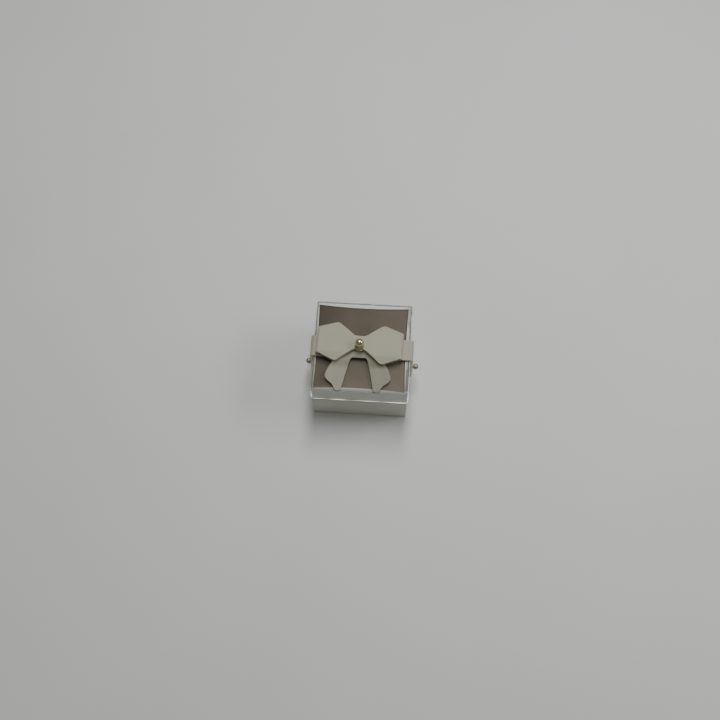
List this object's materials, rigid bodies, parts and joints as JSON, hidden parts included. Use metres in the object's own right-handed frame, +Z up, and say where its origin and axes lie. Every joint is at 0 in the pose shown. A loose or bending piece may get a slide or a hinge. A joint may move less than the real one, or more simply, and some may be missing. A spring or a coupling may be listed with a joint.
{
  "type": "gift box",
  "caption": "Small square card tray with a velvet pad and a clear slip-over lid, closed by a leather strap and bow buttoned on ball studs.",
  "frame": {"origin": "middle of the box over everything, at the underside that the tray stands on", "axes": "+X along the strap to the right, +Y to the back, +Z up"},
  "size_m": [0.0952, 0.08, 0.0696],
  "materials": {
    "white_card": "smooth white wrap paper",
    "grey_card": "uncoated greyboard",
    "foam": "soft open foam",
    "velvet": "short-pile taupe velvet",
    "clear_plastic": "clear and glossy",
    "leather": "smooth matt cream leather",
    "brass": "polished pale gold",
    "steel": "plated"
  },
  "bodies": {
    "tray": {"tray_shell": "white_card", "inner_frame": "white_card", "insert_riser": "grey_card", "insert_foam": "foam", "insert_cover": "velvet", "right_stud": "brass", "left_stud": "brass", "right_stud_screw": "steel", "left_stud_screw": "steel"},
    "lid": {"clear_lid": "clear_plastic"},
    "strap": {"strap_top": "leather", "bow_loops": "leather", "bow_tails": "leather", "centre_stud": "brass", "centre_screw": "steel"},
    "strap_right": {"strap_end_right": "leather"},
    "strap_left": {"strap_end_left": "leather"}
  },
  "joints": [
    {"name": "lid_lift", "type": "slide", "parent": "tray", "child": "lid", "axis": [0, 0, 1], "range_m": [0, 0.06]},
    {"name": "strap_lift", "type": "slide", "parent": "lid", "child": "strap", "axis": [0, 0, 1], "range_m": [0, 0.04]},
    {"name": "right_unbutton", "type": "hinge", "parent": "strap", "child": "strap_right", "pos_m": [0.0412, -0.0015, 0.0533], "axis": [0, -1, 0], "range_deg": [0, 90], "deforming": ["strap_end_right"]},
    {"name": "left_unbutton", "type": "hinge", "parent": "strap", "child": "strap_left", "pos_m": [-0.0412, -0.0015, 0.0533], "axis": [0, 1, 0], "range_deg": [0, 90], "deforming": ["strap_end_left"]}
  ]
}
